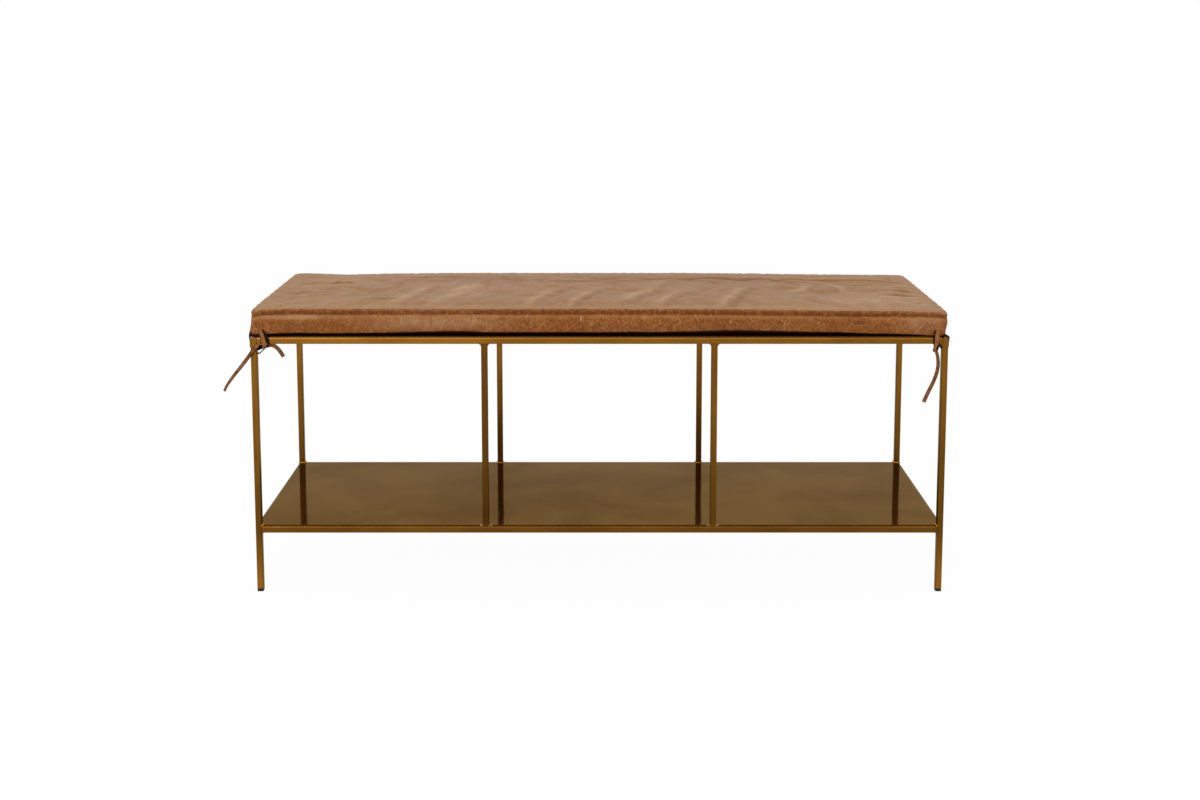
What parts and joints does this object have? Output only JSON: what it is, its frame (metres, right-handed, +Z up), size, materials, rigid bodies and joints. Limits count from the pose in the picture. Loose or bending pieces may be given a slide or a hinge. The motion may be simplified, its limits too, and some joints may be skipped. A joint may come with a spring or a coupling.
{
  "type": "bench with shelf",
  "caption": "Long low bench: square-bar metal frame with a sheet-metal shelf in three bays, and a flat leather seat cushion tied on at its corners.",
  "frame": {"origin": "on the floor, under the middle of the bench", "axes": "+X along the bench to its right as seen from the front, +Y to the back, +Z up"},
  "size_m": [1.1477, 0.3994, 0.4656],
  "materials": {
    "frame": "antique brass finish, satin",
    "sheet": "antique brass finish, polished sheet",
    "leather": "waxed full-grain leather",
    "lace": "cut leather lace",
    "foam": "upholstery foam",
    "glide": "black",
    "zip": "metal zip"
  },
  "bodies": {
    "root": {"cushion_back_band": "leather", "cushion_bottom_panel": "leather", "cushion_foam": "foam", "cushion_front_band": "leather", "cushion_top_panel": "leather", "cushion_zip": "zip", "glide_back_left": "glide", "glide_back_right": "glide", "glide_front_left": "glide", "glide_front_right": "glide", "leg_back_left": "frame", "leg_back_right": "frame", "leg_front_left": "frame", "leg_front_right": "frame", "post_back_left": "frame", "post_back_right": "frame", "post_front_left": "frame", "post_front_right": "frame", "seat_cross_bar_left": "frame", "seat_cross_bar_right": "frame", "seat_deck": "sheet", "seat_rail_back": "frame", "seat_rail_front": "frame", "seat_rail_left": "frame", "seat_rail_right": "frame", "shelf_cross_bar_left": "frame", "shelf_cross_bar_right": "frame", "shelf_rail_back": "frame", "shelf_rail_front": "frame", "shelf_rail_left": "frame", "shelf_rail_right": "frame", "shelf_sheet": "sheet", "tie_back_left": "lace", "tie_back_right": "lace", "tie_front_left": "lace", "tie_front_right": "lace", "tie_tail_back_left_long": "lace", "tie_tail_back_left_short": "lace", "tie_tail_back_right_long": "lace", "tie_tail_back_right_short": "lace", "tie_tail_front_left_long": "lace", "tie_tail_front_left_short": "lace", "tie_tail_front_right_long": "lace"}
  },
  "joints": []
}
